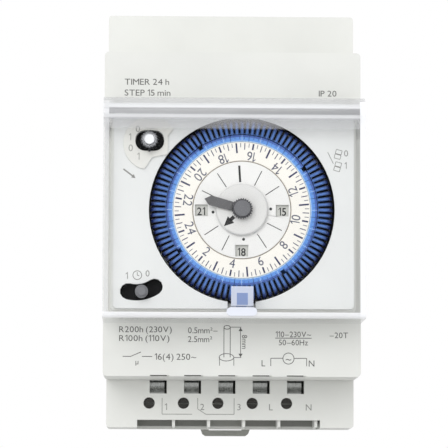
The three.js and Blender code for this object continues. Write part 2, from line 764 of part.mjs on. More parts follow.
// ---- switching ----
function feelerLever() {
  const [x, z] = FEELER;
  const shaft = cylY(1, -53.4, -44.5, x, z, 20);
  const front = plateY([
    [x, z - 0.9], [17.4, -11.8], [17.1, -11.2], [17.3, -10.8], [x, z + 0.9],
  ], -53.4, -52.4);
  const rear = box(16.2, x, -47.4, -46, z - 0.6, z + 0.6);
  return joined(shaft, front, rear);
}

function microswitchBody() {
  return box(8.6, 20.4, -49.3, -43.6, -18.6, -13.2)
    .subtract(box(16.1, 17.9, -47.6, -45.8, -14.9, -12));
}

function microswitchPlunger() {
  return box(16.3, 17.7, -47.4, -46, -14.2, -12.2);
}

// ---- electrical ----
function circuitBoard() {
  return box(-23.2, 23.2, -20, -18.4, -31.5, 34);
}

function battery() {
  return cylY(7.8, -27.5, -20.1, -13, 18, 32);
}

function capacitor() {
  return box(3, 21, -27.8, -20.1, 12, 25);
}

// Bent strip clamp behind each terminal window.
function clampSpring(k) {
  const x = terminalX(k);
  const strip = 0.5;
  const outer = 2.1;
  const centre = [-26, -34.2];
  const outline = [
    ...arc(...centre, outer, 90, 330, 12),
    ...arc(...centre, outer - strip, 330, 90, 12),
  ];
  const leg = [[-26, -32.6], [-21, -34], [-21, -33.5], [-26, -32.1]];
  return joined(plateX(outline, x - 2.1, x + 1.3), plateX(leg, x - 2.1, x + 1.3));
}

function busbar(k) {
  const x = terminalX(k);
  return joined(
    box(x - 2.2, x + 2.2, -20.8, -20.1, -36.2, -29),
    box(x - 0.6, x + 0.6, -20.2, -17.5, -30.4, -29.6),
  );
}

add('minute_pinion', minutePinion(), 'brass');
add('motion_wheel', motionWheel(), 'brass');
add('drive_wheel', driveWheel(), 'white');
add('clutch_spring', clutchSpring(), 'steel');
add('third_wheel', thirdWheel(), 'white');
add('rotor', rotor(), 'grey');
add('movement_front_plate', movementPlate(PLATE_FRONT, PLATE_BACK, [
  [2.15, DIAL_X, DIAL_Z], [0.75, ...MOTION], [0.7, ...THIRD],
]), 'steel');
add('movement_rear_plate', movementPlate(REAR_FRONT, REAR_BACK, [
  [0.9, DIAL_X, DIAL_Z], [0.7, ...THIRD], [0.7, ...ROTOR],
]), 'steel');
PILLARS.forEach((place, i) => add(`pillar_${i + 1}`, pillar(place), 'steel'));
add('stator', stator(), 'steel');
add('coil_bobbin', coilBobbin(), 'white');
add('coil_winding', coilWinding(), 'copper');
add('feeler_lever', feelerLever(), 'steel');
add('microswitch_body', microswitchBody(), 'black');
add('microswitch_plunger', microswitchPlunger(), 'grey');
add('circuit_board', circuitBoard().subtract(box(-18, 17, -21, -17, -32, -29.2)), 'board');
add('battery', battery(), 'grey');
add('capacitor', capacitor(), 'blue');
for (const k of TERMINALS) add(`cage_clamp_${k + 1}`, clampSpring(k), 'steel');
for (const k of TERMINALS) add(`busbar_${k + 1}`, busbar(k), 'copper');

export default part;
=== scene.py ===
"""Looks of the rail-mounted 24-hour time switch: moulded plastics, clear cover, printing and the dial.

Metres, X right, front faces -Y, +Z up. A place that follows a CAD node comes from that node's box;
the other places are millimetres in the same frame.
"""

import json
import math

import bpy
import bmesh
from mathutils import Matrix, Vector


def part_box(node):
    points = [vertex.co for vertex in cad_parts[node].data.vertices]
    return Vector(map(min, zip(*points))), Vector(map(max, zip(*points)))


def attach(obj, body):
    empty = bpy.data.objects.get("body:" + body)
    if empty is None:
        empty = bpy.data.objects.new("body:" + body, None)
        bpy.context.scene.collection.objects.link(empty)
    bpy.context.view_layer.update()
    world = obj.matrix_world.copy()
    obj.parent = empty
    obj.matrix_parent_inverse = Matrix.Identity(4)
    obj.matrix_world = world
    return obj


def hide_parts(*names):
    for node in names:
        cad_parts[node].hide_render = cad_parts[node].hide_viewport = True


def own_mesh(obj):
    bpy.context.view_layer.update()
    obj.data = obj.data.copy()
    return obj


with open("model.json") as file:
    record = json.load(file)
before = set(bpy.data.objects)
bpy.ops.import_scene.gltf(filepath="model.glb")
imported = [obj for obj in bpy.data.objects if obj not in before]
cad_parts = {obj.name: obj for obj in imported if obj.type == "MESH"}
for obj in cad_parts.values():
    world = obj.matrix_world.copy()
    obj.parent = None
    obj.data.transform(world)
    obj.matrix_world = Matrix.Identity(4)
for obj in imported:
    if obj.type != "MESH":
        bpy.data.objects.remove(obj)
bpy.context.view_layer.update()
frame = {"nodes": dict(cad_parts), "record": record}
NODES = frame["nodes"]

MM = 0.001
FILM = 0.02 * MM  # thickness of a printed mark


def centre(node):
    """Middle of a node's box."""
    low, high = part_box(node)
    return (low + high) / 2


def front(node):
    """Depth of a node's front face."""
    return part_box(node)[0].y


def radius_of(node):
    """Half of a round node's width."""
    low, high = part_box(node)
    return (high.x - low.x) / 2


# the dial, in metres, and its centre again in millimetres
DIAL = centre("scale_ring")
DIAL_RADIUS = radius_of("tappet_ring")
BAND_OUTER = radius_of("program_ring")
SCALE_OUTER = radius_of("scale_ring")
FACE_RADIUS = radius_of("clock_face")
DX = DIAL.x / MM
DZ = DIAL.z / MM
TAPPETS = 96
TAPPET_PITCH = 360 / TAPPETS  # in degrees
HINGED_TAPPETS = (1, 2, 3, 4)

# what the dial shows; angles are in degrees, counter-clockwise from the right
HOUR_STEP = 15.0
ANGLE_AT_HOUR_17 = 95.0
HOUR_HAND_ANGLE = 223.5
WINDOW_HOURS = {0: "15", 270: "18", 180: "21"}
NEXT_WINDOW_HOURS = {0: "3", 270: "6", 180: "9"}
PRINT_DROP = 0.15  # the face's marks sit a little low and are turned a little, as printed
PRINT_TURN = 3.5

# the cover: its front face, the cap behind its rim, and the window over its catch
COVER_LOW, COVER_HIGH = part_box("clear_cover")
COVER_FACE = -60.0 * MM
CAP_FACE = COVER_HIGH.y + 0.3 * MM  # the closed cover stops this far in front of the cap
CATCH_HALF = 2.2 * MM
CATCH_TOP = -16.2 * MM
CATCH_FOOT = -20.1 * MM
TONGUE_HALF = 1.1 * MM  # the bluish tongue seen in the middle of that window
TONGUE_TOP = CATCH_TOP - 1.3 * MM
TONGUE_FOOT = CATCH_FOOT + 0.2 * MM
HINGE_STOPS = ((-22.9, -20.3), (19.9, 22.2))  # left and right edge of each stop, in millimetres

# terminal tier and latch, in millimetres except for BASE_FRONT and LATCH_TRAVEL, which are in metres
TERMINAL_NAMES = {"1": -13.3, "2": -5.75, "3": 1.87, "L": 8.5, "N": 16.35}
BASE_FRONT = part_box("base_housing")[0].y
HOLE_SHIFT = 1.47  # a release hole is this far to the left of its clamp
HOLE_HEIGHT = -38.15
LEVER_RADIUS = 1.08
CHAMBER_WALLS = (-19.2, -12.0, -4.7, 2.6, 9.9, 17.6)
CAP_PITCH = 0.973  # the cap's windows are a little closer together than the clamps
# the painted shadow in the slit over each terminal window
SLIT_SHADOW_HALF = 1.7
SLIT_SHADOW_HEIGHT = -33.15

# lettering
CAP_SHARE = 0.72  # height of the built-in font's digits as a share of its size
STEM = 0.11  # stroke of a glyph as a share of its height
SQUARE = ((-1, -1), (1, -1), (1, 1), (-1, 1), (-1, -1))  # corners of a square, and the first again

# studio and camera
ROOM_LEVEL = 0.8
KEY_POWER = 3.5
FLOOR_Z = -0.0705
CAMERA_PLACE = (-0.01613, -0.63940, -0.06364)
CAMERA_AIM = Vector((0.02410, 0.99442, 0.10268))
CAMERA_UP = Vector((-0.00556, -0.10258, 0.99471))
LENS = 235.6


# ---- colour and node helpers ----
def srgb(red, green, blue):
    """Linear colour from 0-255 display values."""

    def linear(value):
        value /= 255
        return value / 12.92 if value <= 0.04045 else ((value + 0.055) / 1.055) ** 2.4

    return (linear(red), linear(green), linear(blue), 1.0)


def scaled(colour, factor):
    """The colour made lighter or darker by a factor."""
    return tuple(min(1.0, c * factor) for c in colour[:3]) + (1.0,)


def new_material(name):
    """A material with its node tree and its shader."""
    material = bpy.data.materials.new(name)
    material.use_nodes = True
    tree = material.node_tree
    return material, tree, tree.nodes["Principled BSDF"]


def noise(tree, scale, detail=3.0, stretch=None):
    """Noise in the object's own space; stretch scales it along X, Y and Z."""
    place = tree.nodes.new("ShaderNodeTexCoord")
    texture = tree.nodes.new("ShaderNodeTexNoise")
    texture.inputs["Scale"].default_value = scale
    texture.inputs["Detail"].default_value = detail
    source = place.outputs["Object"]
    if stretch:
        mapping = tree.nodes.new("ShaderNodeMapping")
        mapping.inputs["Scale"].default_value = stretch
        tree.links.new(source, mapping.inputs["Vector"])
        source = mapping.outputs["Vector"]
    tree.links.new(source, texture.inputs["Vector"])
    return texture.outputs["Fac"]


def ramp(tree, source, stops):
    """Colour ramp over a 0-1 value; stops are (position, colour)."""
    node = tree.nodes.new("ShaderNodeValToRGB")
    elements = node.color_ramp.elements
    while len(elements) < len(stops):
        elements.new(0.5)
    for element, (position, colour) in zip(elements, stops):
        element.position = position
        element.color = colour
    tree.links.new(source, node.inputs["Fac"])
    return node.outputs["Color"]


def spread(tree, source, low, high):
    """A value between low and high, following a 0-1 source."""
    node = tree.nodes.new("ShaderNodeMapRange")
    node.inputs["From Min"].default_value = 0.3
    node.inputs["From Max"].default_value = 0.7
    node.inputs["To Min"].default_value = low
    node.inputs["To Max"].default_value = high
    tree.links.new(source, node.inputs["Value"])
    return node.outputs["Result"]


def bump(tree, shader, source, strength, distance):
    """Raises the surface where the source is bright, by up to the distance in metres."""
    node = tree.nodes.new("ShaderNodeBump")
    node.inputs["Strength"].default_value = strength
    node.inputs["Distance"].default_value = distance
    tree.links.new(source, node.inputs["Height"])
    tree.links.new(node.outputs["Normal"], shader.inputs["Normal"])


# ---- materials ----
def plastic(name, colour, rough=0.45, tint=0.04, grain=0.25, grain_size=0.22, specular=0.5):
    """Moulded plastic: spark-eroded grain, faint flow marks and a roughness that wanders."""
    wander = 0.06
    material, tree, shader = new_material(name)
    shader.inputs["Specular IOR Level"].default_value = specular
    flow = noise(tree, 55, 4)
    colours = ramp(tree, flow, [(0.3, scaled(colour, 1 - tint)), (0.7, scaled(colour, 1 + tint / 2))])
    tree.links.new(colours, shader.inputs["Base Color"])
    roughness = spread(tree, noise(tree, 140, 2), rough - wander, rough + wander)
    tree.links.new(roughness, shader.inputs["Roughness"])
    bump(tree, shader, noise(tree, 1 / (grain_size * MM), 2), grain, 0.03 * MM)
    return material


def metal(name, colour, rough=0.3, brushed=(1, 14, 1)):
    """Metal with fine drawing lines along one direction."""
    material, tree, shader = new_material(name)
    shader.inputs["Metallic"].default_value = 1.0
    lines = noise(tree, 700, 3, brushed)
    colours = ramp(tree, lines, [(0.3, scaled(colour, 0.8)), (0.7, colour)])
    tree.links.new(colours, shader.inputs["Base Color"])
    tree.links.new(spread(tree, lines, rough - 0.08, rough + 0.12), shader.inputs["Roughness"])
    bump(tree, shader, lines, 0.2, 0.02 * MM)
    return material


def ink(name, colour):
    """Pad-printed ink, a little uneven in density."""
    material, tree, shader = new_material(name)
    density = noise(tree, 2500, 2)
    colours = ramp(tree, density, [(0.3, scaled(colour, 0.85)), (0.7, scaled(colour, 1.2))])
    tree.links.new(colours, shader.inputs["Base Color"])
    tree.links.new(spread(tree, density, 0.45, 0.65), shader.inputs["Roughness"])
    return material


def math_node(tree, kind, first, second=0.0):
    """Value of a maths node; each input is a number or a socket."""
    node = tree.nodes.new("ShaderNodeMath")
    node.operation = kind
    for socket, value in zip(node.inputs, (first, second)):
        if isinstance(value, (int, float)):
            socket.default_value = value
        else:
            tree.links.new(value, socket)
    return node.outputs["Value"]


def mix_colours(tree, share, first, second, blend="MIX"):
    """Two colours blended; each is a colour or a socket, and so is the share."""
    node = tree.nodes.new("ShaderNodeMix")
    node.data_type = "RGBA"
    node.blend_type = blend
    factor, low, high = node.inputs[0], node.inputs[6], node.inputs[7]
    for socket, value in ((factor, share), (low, first), (high, second)):
        if isinstance(value, bpy.types.NodeSocket):
            tree.links.new(value, socket)
        else:
            socket.default_value = value
    return node.outputs[2]


def object_place(tree):
    """The X, Y and Z of the point in the object's own frame, which is the CAD frame."""
    place = tree.nodes.new("ShaderNodeTexCoord")
    split = tree.nodes.new("ShaderNodeSeparateXYZ")
    tree.links.new(place.outputs["Object"], split.inputs["Vector"])
    return split.outputs["X"], split.outputs["Y"], split.outputs["Z"]


def radius_from(tree, x, z, middle):
    """Distance of the point from a line along Y through the middle."""
    across = math_node(tree, "SUBTRACT", x, middle.x)
    up = math_node(tree, "SUBTRACT", z, middle.z)
    squares = math_node(tree, "MULTIPLY", across, across), math_node(tree, "MULTIPLY", up, up)
    return math_node(tree, "SQRT", math_node(tree, "ADD", *squares))


def cool(value):
    """Very slightly bluish grey from a 0-255 display value."""
    return srgb(value, value + 1, value + 4)


def level(value):
    """Neutral grey from a linear 0-1 value."""
    return (value, value, value, 1.0)


def between(tree, value, low, high):
    """1 where the value lies between two limits, and 0 elsewhere."""
    above = math_node(tree, "GREATER_THAN", value, low)
    return math_node(tree, "MULTIPLY", math_node(tree, "LESS_THAN", value, high), above)


def clear_plastic(name, low, high, half_width):
    """Clear polycarbonate that mirrors more at a slant, with painted highlights on the front rim of its
    walls, painted reflection and shade bands up the hinge curve, and a pale catch window and lip.

    low, high and half_width are the cover's edges, in metres.
    """
    material, tree, shader = new_material(name)
    x, y, z = object_place(tree)
    # painted reflections, and a painted shade band for the groove behind, up the curve: 0 at its foot, 1 at
    # the hinge edge
    curve = 7.0 * MM
    climb = math_node(tree, "DIVIDE", math_node(tree, "SUBTRACT", z, high - curve), curve)
    bands = ramp(tree, climb, [
        (0.02, cool(216)), (0.34, cool(208)), (0.37, cool(235)), (0.43, cool(232)), (0.46, cool(167)),
        (0.62, cool(176)), (0.65, cool(246)), (0.75, cool(241)), (0.79, cool(206)), (1.0, cool(223)),
    ])
    # how much of the painted bands covers the clear plastic
    painted_band_share = ramp(tree, climb, [
        (0.02, level(0)), (0.06, level(0.16)), (0.3, level(0.25)), (0.36, level(0.6)), (0.45, level(0.6)),
        (0.62, level(0.55)), (0.65, level(0.65)), (0.75, level(0.6)), (0.8, level(0.4)), (1.0, level(0.35)),
    ])
    # the front rim of the side and lower walls, whitish with a painted highlight that is brighter on the
    # right than on the left; the catch window and the finger lip
    wall = 1.15 * MM
    rim_depth = 1.3 * MM
    rim = math_node(tree, "LESS_THAN", y, COVER_FACE + rim_depth)
    left = math_node(tree, "MULTIPLY", rim, math_node(tree, "LESS_THAN", x, wall - half_width))
    right = math_node(tree, "MULTIPLY", rim, math_node(tree, "GREATER_THAN", x, half_width - wall))
    foot = math_node(tree, "MULTIPLY", rim, math_node(tree, "LESS_THAN", z, low + wall))
    aside = math_node(tree, "ABSOLUTE", math_node(tree, "SUBTRACT", x, DIAL.x))
    pane = math_node(tree, "MULTIPLY", math_node(tree, "LESS_THAN", aside, CATCH_HALF),
                     between(tree, z, CATCH_FOOT, CATCH_TOP))
    tongue = math_node(tree, "MULTIPLY", math_node(tree, "LESS_THAN", aside, TONGUE_HALF),
                       between(tree, z, TONGUE_FOOT, TONGUE_TOP))
    lip = math_node(tree, "LESS_THAN", y, COVER_FACE - 0.02 * MM)
    colours, share = bands, painted_band_share
    for mask, colour, whiteness in (
        (left, cool(240), 0.4), (right, cool(250), 0.8), (foot, cool(250), 0.75),
        (pane, srgb(226, 233, 250), 0.6), (tongue, srgb(142, 162, 208), 0.7),
        (lip, srgb(236, 240, 252), 0.85),
    ):
        colours = mix_colours(tree, mask, colours, colour)
        share = math_node(tree, "MAXIMUM", share, math_node(tree, "MULTIPLY", mask, whiteness))
    tree.links.new(colours, shader.inputs["Base Color"])
    fresnel = tree.nodes.new("ShaderNodeFresnel")
    fresnel.inputs["IOR"].default_value = 1.2
    share = math_node(tree, "MAXIMUM", share, math_node(tree, "MULTIPLY", fresnel.outputs["Fac"], 0.4))
    tree.links.new(spread(tree, noise(tree, 90, 2), 0.05, 0.12), shader.inputs["Roughness"])
    bump(tree, shader, noise(tree, 120, 2), 0.08, 0.05 * MM)
    see_through = tree.nodes.new("ShaderNodeBsdfTransparent")
    see_through.inputs["Color"].default_value = (1.0, 1.0, 1.0, 1.0)
    mix = tree.nodes.new("ShaderNodeMixShader")
    tree.links.new(share, mix.inputs["Fac"])
    tree.links.new(see_through.outputs["BSDF"], mix.inputs[1])
    tree.links.new(shader.outputs["BSDF"], mix.inputs[2])
    tree.links.new(mix.outputs["Shader"], tree.nodes["Material Output"].inputs["Surface"])
    return material


def dial_plastic(name, body, edge, painted_depth_shade):
    """Dial plastic: rib colour inside with painted shading across each rib, painted shade on the rim and in
    the gaps between the tappets, and painted shade that grows with depth.
    """
    material, tree, shader = new_material(name)
    shader.inputs["Specular IOR Level"].default_value = 0.25
    x, y, z = object_place(tree)
    radius = math_node(tree, "DIVIDE", radius_from(tree, x, z, DIAL), DIAL_RADIUS)
    up = math_node(tree, "SUBTRACT", z, DIAL.z)
    across = math_node(tree, "SUBTRACT", x, DIAL.x)
    turn = math_node(tree, "ARCTAN2", up, across)
    pitch = math_node(tree, "DIVIDE", turn, 2 * math.pi / TAPPETS)
    beside = math_node(tree, "ABSOLUTE", math_node(tree, "SUBTRACT", pitch, math_node(tree, "ROUND", pitch)))
    # painted shading across each rib: lighter in its middle, darker towards the gaps between tappets
    painted_rib_shading = ramp(tree, beside, [(0.06, scaled(body, 1.25)), (0.2, scaled(body, 0.55))])
    # painted shade over the outer rim
    painted_rim_shade_share = ramp(tree, radius, [(0.92, level(0)), (0.985, level(1))])
    rim = mix_colours(tree, painted_rim_shade_share, painted_rib_shading, edge)
    # painted shade that darkens with depth behind the tappets' front
    depth = math_node(tree, "DIVIDE", math_node(tree, "SUBTRACT", y, front("tappet_ring")), 3 * MM)
    shade = ramp(tree, depth, [(0.1, level(1)), (0.6, painted_depth_shade)])
    tree.links.new(mix_colours(tree, 1.0, rim, shade, "MULTIPLY"), shader.inputs["Base Color"])
    tree.links.new(spread(tree, noise(tree, 400, 2), 0.3, 0.42), shader.inputs["Roughness"])
    bump(tree, shader, noise(tree, 3500, 2), 0.15, 0.02 * MM)
    return material


def knob_plastic(name, face, skirt, step):
    """Grey plastic whose front face is lighter than the knurled skirt behind the step."""
    material = plastic(name, face, 0.4, grain=0.2)
    tree = material.node_tree
    shader = tree.nodes["Principled BSDF"]
    _, y, _ = object_place(tree)
    behind = math_node(tree, "GREATER_THAN", y, step)
    tree.links.new(mix_colours(tree, behind, face, skirt), shader.inputs["Base Color"])
    return material


def domed_metal(name, middle):
    """Turned knob: a painted highlight in the middle that falls away to painted shade on the dark knurled
    rim.
    """
    material = metal(name, srgb(236, 238, 240), 0.3, (1, 1, 4))
    tree = material.node_tree
    shader = tree.nodes["Principled BSDF"]
    x, _, z = object_place(tree)
    radius = math_node(tree, "DIVIDE", radius_from(tree, x, z, middle), 2 * MM)
    # painted highlight in the middle, painted shade towards the rim
    colours = ramp(tree, radius, [
        (0.4, srgb(196, 197, 200)), (0.66, srgb(112, 113, 116)), (0.95, srgb(34, 34, 38)),
    ])
    tree.links.new(colours, shader.inputs["Base Color"])
    return material


HOUSING = plastic("housing_plastic", srgb(226, 227, 223), 0.5)
PANEL = plastic("panel_plastic", srgb(228, 230, 229), 0.45, grain_size=0.15)
CREAM = plastic("cream_plastic", srgb(248, 245, 237), 0.42, grain=0.1)
SILVER_GREY = plastic("indicator_plastic", srgb(226, 226, 221), 0.42, grain=0.15)
WHITE = plastic("white_plastic", srgb(238, 238, 236), 0.4, grain=0.1)
GREY = plastic("grey_plastic", srgb(112, 113, 117), 0.4, grain=0.2)
HAND = plastic("hand_plastic", srgb(90, 90, 92), 0.38, grain=0.3)
LATCH = plastic("latch_plastic", srgb(158, 159, 153), 0.5)
BLACK = plastic("black_plastic", srgb(14, 14, 16), 0.5, grain=0.2, specular=0.1)
WINDOW = plastic("window_plastic", srgb(202, 203, 198), 0.5, grain=0.1)
CLEAR = clear_plastic("clear_cover_plastic", COVER_LOW.z, COVER_HIGH.z, COVER_HIGH.x)
# the override knob, its highlight and shade painted by radius
PAINTED_SHINE_KNOB = domed_metal("silvered_knob", centre("ratchet_wheel"))
KNOB_STEP = front("setting_knob") + 0.2 * MM
SETTING = knob_plastic("setting_knob_plastic", srgb(104, 105, 109), srgb(62, 62, 66), KNOB_STEP)
# the tappets: rib colour, painted rim shade and painted depth shade
TAPPET = dial_plastic("tappet_plastic", srgb(72, 110, 176), srgb(22, 38, 96), srgb(6, 8, 18))
BAND = plastic("band_plastic", srgb(92, 150, 228), 0.35, tint=0.08, grain=0.15)
STEEL = metal("plated_steel", srgb(176, 178, 176), 0.28, (14, 1, 1))
BRASS = metal("brass", srgb(205, 168, 96), 0.3)
COPPER = metal("copper", srgb(196, 120, 72), 0.35)
# tinned copper, darkened to paint the shade the busbars lie in
TINNED_IN_SHADE = metal("tinned_copper_in_shade", srgb(96, 96, 93), 0.45)
BOARD = plastic("board_laminate", srgb(42, 104, 66), 0.5, tint=0.1)
SHADED = plastic("shaded_plastic", srgb(46, 43, 39), 0.6)
# grey that paints the shade at the back of the wire chambers
CHAMBER = plastic("chamber_plastic", srgb(140, 141, 136), 0.6)
DARK_INK = ink("dark_ink", srgb(88, 88, 86))
GREY_INK = ink("grey_ink", srgb(135, 135, 132))
MID_INK = ink("mid_ink", srgb(70, 105, 185))
BLACK_INK = ink("black_ink", srgb(26, 26, 28))
NAVY_INK = ink("navy_ink", srgb(34, 40, 84))
SLATE_INK = ink("slate_ink", srgb(84, 88, 108))
FAINT_INK = ink("faint_ink", srgb(158, 158, 154))
PALE_INK = ink("pale_ink", srgb(176, 208, 244))
SHADOW_LINE_INK = ink("shadow_line_ink", srgb(150, 142, 130))
CYAN_INK = ink("cyan_ink", srgb(62, 100, 165))

CAD_LOOKS = {
    "housing": HOUSING,
    "panel": PANEL,
    "clear": CLEAR,
    "latch": LATCH,
    "blue": TAPPET,
    "white": WHITE,
    "grey": GREY,
    "black": BLACK,
    "steel": STEEL,
    "brass": BRASS,
    "copper": COPPER,
    "board": BOARD,
}
NODE_LOOKS = {
    **{f"busbar_{k}": TINNED_IN_SHADE for k in range(1, 6)},
    "program_ring": BAND,
    "scale_ring": CREAM,
    "indicator_plate": SILVER_GREY,
    "number_disc": WINDOW,
    "hour_disc": plastic("hour_disc_plastic", srgb(224, 224, 222), 0.45, grain=0.15),
    "minute_hand": HAND,
    "setting_knob": SETTING,
    "override_knob": PAINTED_SHINE_KNOB,
    "capacitor": plastic("capacitor_sleeve", srgb(64, 96, 150), 0.35),
    "battery": plastic("battery_sleeve", srgb(92, 120, 96), 0.35),
}
BEVELS = {
    "base_housing": 0.35,
    "cap_housing": 0.35,
    "clear_cover": 0.25,
    "rail_latch": 0.3,
    "indicator_plate": 0.08,
    "mode_knob": 0.15,
    "setting_knob": 0.06,
    "override_knob": 0.08,
    "clock_face": 0.06,
    "scale_ring": 0.08,
    "minute_hand": 0.08,
    "hour_disc": 0.12,
    "tappet_ring": 0.05,
}


def dress_cad_nodes():
    """Gives each CAD node its material, and softens the edges that are seen."""
    slots = {row["node"]: row["material_slot"] for row in frame["record"]["subparts"]}
    for name, node in NODES.items():
        material = NODE_LOOKS.get(name, CAD_LOOKS[slots[name]])
        node.data.materials.clear()
        node.data.materials.append(material)
        if name not in BEVELS:
            continue
        weld = node.modifiers.new("weld", "WELD")
        weld.merge_threshold = 0.001 * MM
        bevel = node.modifiers.new("edges", "BEVEL")
        bevel.width = BEVELS[name] * MM
        bevel.segments = 2
        bevel.limit_method = "ANGLE"
        bevel.angle_limit = math.radians(38)
        bevel.use_clamp_overlap = True


# ---- printed marks ----
GLYPHS = {}  # characters already drawn, by character and boldness


def glyph(character, bold):
    """Vertices (x, y, front), faces and width of one character, of unit height."""
    if (character, bold) in GLYPHS:
        return GLYPHS[character, bold]
    if character == "1":
        # the built-in font's own figure one is a bare stroke, so this one gets a flag
        right, left = 0.34 + bold, 0.34 - STEM - bold
        ring = [(left, 0), (right, 0), (right, 1), (left, 1), (0.02, 0.8), (0.02, 0.68), (left, 0.84)]
        count = len(ring)
        points = [(x, y, True) for x, y in ring] + [(x, y, False) for x, y in ring]
        faces = [list(range(count)), [count + i for i in reversed(range(count))]]
        faces += [[i, count + i, count + (i + 1) % count, (i + 1) % count] for i in range(count)]
    else:
        curve = bpy.data.curves.new("words", "FONT")
        curve.body = character
        curve.size = 1 / CAP_SHARE
        curve.extrude = 0.01
        curve.offset = bold
        curve.resolution_u = 3
        carrier = bpy.data.objects.new("words", curve)
        bpy.context.scene.collection.objects.link(carrier)
        mesh = bpy.data.meshes.new_from_object(carrier.evaluated_get(bpy.context.evaluated_depsgraph_get()))
        bpy.data.objects.remove(carrier)
        bpy.data.curves.remove(curve)
        points = [(v.co.x, v.co.y, v.co.z > 0) for v in mesh.vertices]
        faces = [list(face.vertices) for face in mesh.polygons]
        bpy.data.meshes.remove(mesh)
    left = min(x for x, _, _ in points)
    width = max(x for x, _, _ in points) - left
    GLYPHS[character, bold] = [(x - left, y, front_side) for x, y, front_side in points], faces, width
    return GLYPHS[character, bold]


def arc_points(x, z, radius, start, sweep, steps):
    """Points along an arc about (x, z), its two ends included."""
    points = []
    for i in range(steps + 1):
        angle = math.radians(start + sweep * i / steps)
        points.append((x + radius * math.cos(angle), z + radius * math.sin(angle)))
    return points


def link_piece(name, mesh, body, material):
    """Puts a mesh into the scene as one piece that rides a body."""
    piece = bpy.data.objects.new(name, mesh)
    piece.data.materials.append(material)
    bpy.context.scene.collection.objects.link(piece)
    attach(piece, body)


class Marks:
    """Thin printed shapes on one plane facing -Y, gathered into one piece.

    Places and sizes are in millimetres, and angles in degrees.
    """

    def __init__(self, name, plane, body, material, slot):
        self.name = name
        self.plane = plane
        self.body = body
        self.material = material
        self.slot = slot
        self.vertices = []
        self.faces = []

    def outline(self, points):
        """A filled outline, as a plate of the film's thickness."""
        first = len(self.vertices)
        count = len(points)
        area = sum(a[0] * b[1] - b[0] * a[1] for a, b in zip(points, points[1:] + points[:1]))
        ordered = points if area > 0 else points[::-1]
        for depth in (-FILM, 0.2 * FILM):
            self.vertices += [(x * MM, self.plane + depth, z * MM) for x, z in ordered]
        self.faces.append(list(range(first, first + count)))
        self.faces.append([first + count + i for i in reversed(range(count))])
        for i in range(count):
            j = (i + 1) % count
            self.faces.append([first + j, first + i, first + count + i, first + count + j])

    def line(self, start, end, width):
        """A straight stroke."""
        along = Vector(end) - Vector(start)
        side = Vector((-along.y, along.x)).normalized() * (width / 2)
        a, b = Vector(start), Vector(end)
        self.outline([tuple(p) for p in (a - side, b - side, b + side, a + side)])

    def path(self, points, width):
        """A stroke through several points."""
        for start, end in zip(points, points[1:]):
            self.line(start, end, width)

    def arc(self, x, z, radius, width, start=0.0, end=360.0, steps=32):
        """A stroke along an arc about (x, z)."""
        for i in range(steps):
            a = math.radians(start + (end - start) * i / steps)
            b = math.radians(start + (end - start) * (i + 1) / steps)
            inner, outer = radius - width / 2, radius + width / 2
            self.outline([
                (x + inner * math.cos(a), z + inner * math.sin(a)),
                (x + outer * math.cos(a), z + outer * math.sin(a)),
                (x + outer * math.cos(b), z + outer * math.sin(b)),
                (x + inner * math.cos(b), z + inner * math.sin(b)),
            ])

    def dot(self, x, z, radius, sides=16):
        """A filled disc."""
        self.outline(arc_points(x, z, radius, 0.0, 360.0, sides)[:-1])

    def spoke(self, x, z, inner, outer, angle, width):
        """A radial tick about (x, z)."""
        way = Vector((math.cos(math.radians(angle)), math.sin(math.radians(angle))))
        middle = Vector((x, z))
        self.line(tuple(middle + way * inner), tuple(middle + way * outer), width)

    def text(self, words, height, x, z, turn=0.0, bold=0.0, squeeze=1.0, align="CENTER"):
        """Words of this digit height, centred on (x, z) or starting there."""
        spacing = 0.13
        cursor = 0.0
        placed = []
        for character in words:
            if character == " ":
                cursor += 0.3
                continue
            points, faces, width = glyph(character, bold)
            placed.append((cursor, points, faces))
            cursor += width + spacing
        shift = (cursor - spacing) / 2 if align == "CENTER" else 0.0
        angle = math.radians(turn)
        for at, points, faces in placed:
            first = len(self.vertices)
            for px, py, front_side in points:
                across = (at + px - shift) * height * squeeze
                up = (py - 0.5) * height
                self.vertices.append((
                    (x + across * math.cos(angle) - up * math.sin(angle)) * MM,
                    self.plane + (-FILM if front_side else 0.2 * FILM),
                    (z + across * math.sin(angle) + up * math.cos(angle)) * MM,
                ))
            self.faces += [[first + i for i in face] for face in faces]

    def make(self):
        """Turns the gathered shapes into the piece."""
        mesh = bpy.data.meshes.new(self.name)
        mesh.from_pydata(self.vertices, [], self.faces)
        shape = bmesh.new()
        shape.from_mesh(mesh)
        bmesh.ops.remove_doubles(shape, verts=shape.verts, dist=0.0005 * MM)
        shape.to_mesh(mesh)
        shape.free()
        link_piece(self.name, mesh, self.body, self.material)


def hour_angle(hour):
    """Angle of an hour on the 24-hour ring at rest, counter-clockwise from +X as seen from the front."""
    return ANGLE_AT_HOUR_17 + HOUR_STEP * (hour - 17)


